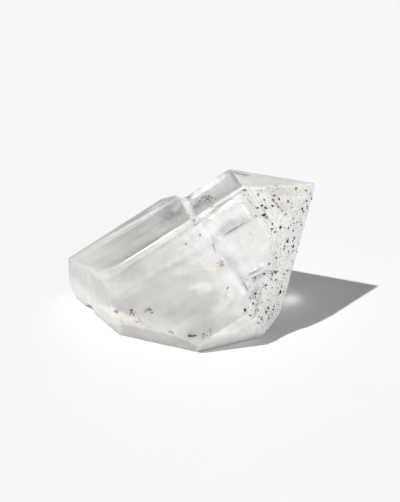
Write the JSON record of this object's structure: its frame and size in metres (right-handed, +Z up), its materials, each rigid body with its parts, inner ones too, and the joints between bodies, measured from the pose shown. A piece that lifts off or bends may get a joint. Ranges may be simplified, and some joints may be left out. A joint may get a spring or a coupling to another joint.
{
  "type": "himalayan quartz crystal",
  "caption": "Natural clear to milky quartz point with a stepped side crystal and a broken foot, lying on its break with the tip raised.",
  "frame": {"origin": "on the table, under the middle of the crystal's bounding box", "axes": "+Z up; +X to the side that the tip points to, along the longest extent; -Y to the side that the broad front face looks to"},
  "size_m": [0.0668, 0.047, 0.0379],
  "materials": {
    "quartz": "clear to milky quartz, glassy faces with fine growth lines, dull on the breaks, with dark and rust specks"
  },
  "bodies": {
    "root": {"quartz_crystal": "quartz"}
  },
  "joints": []
}
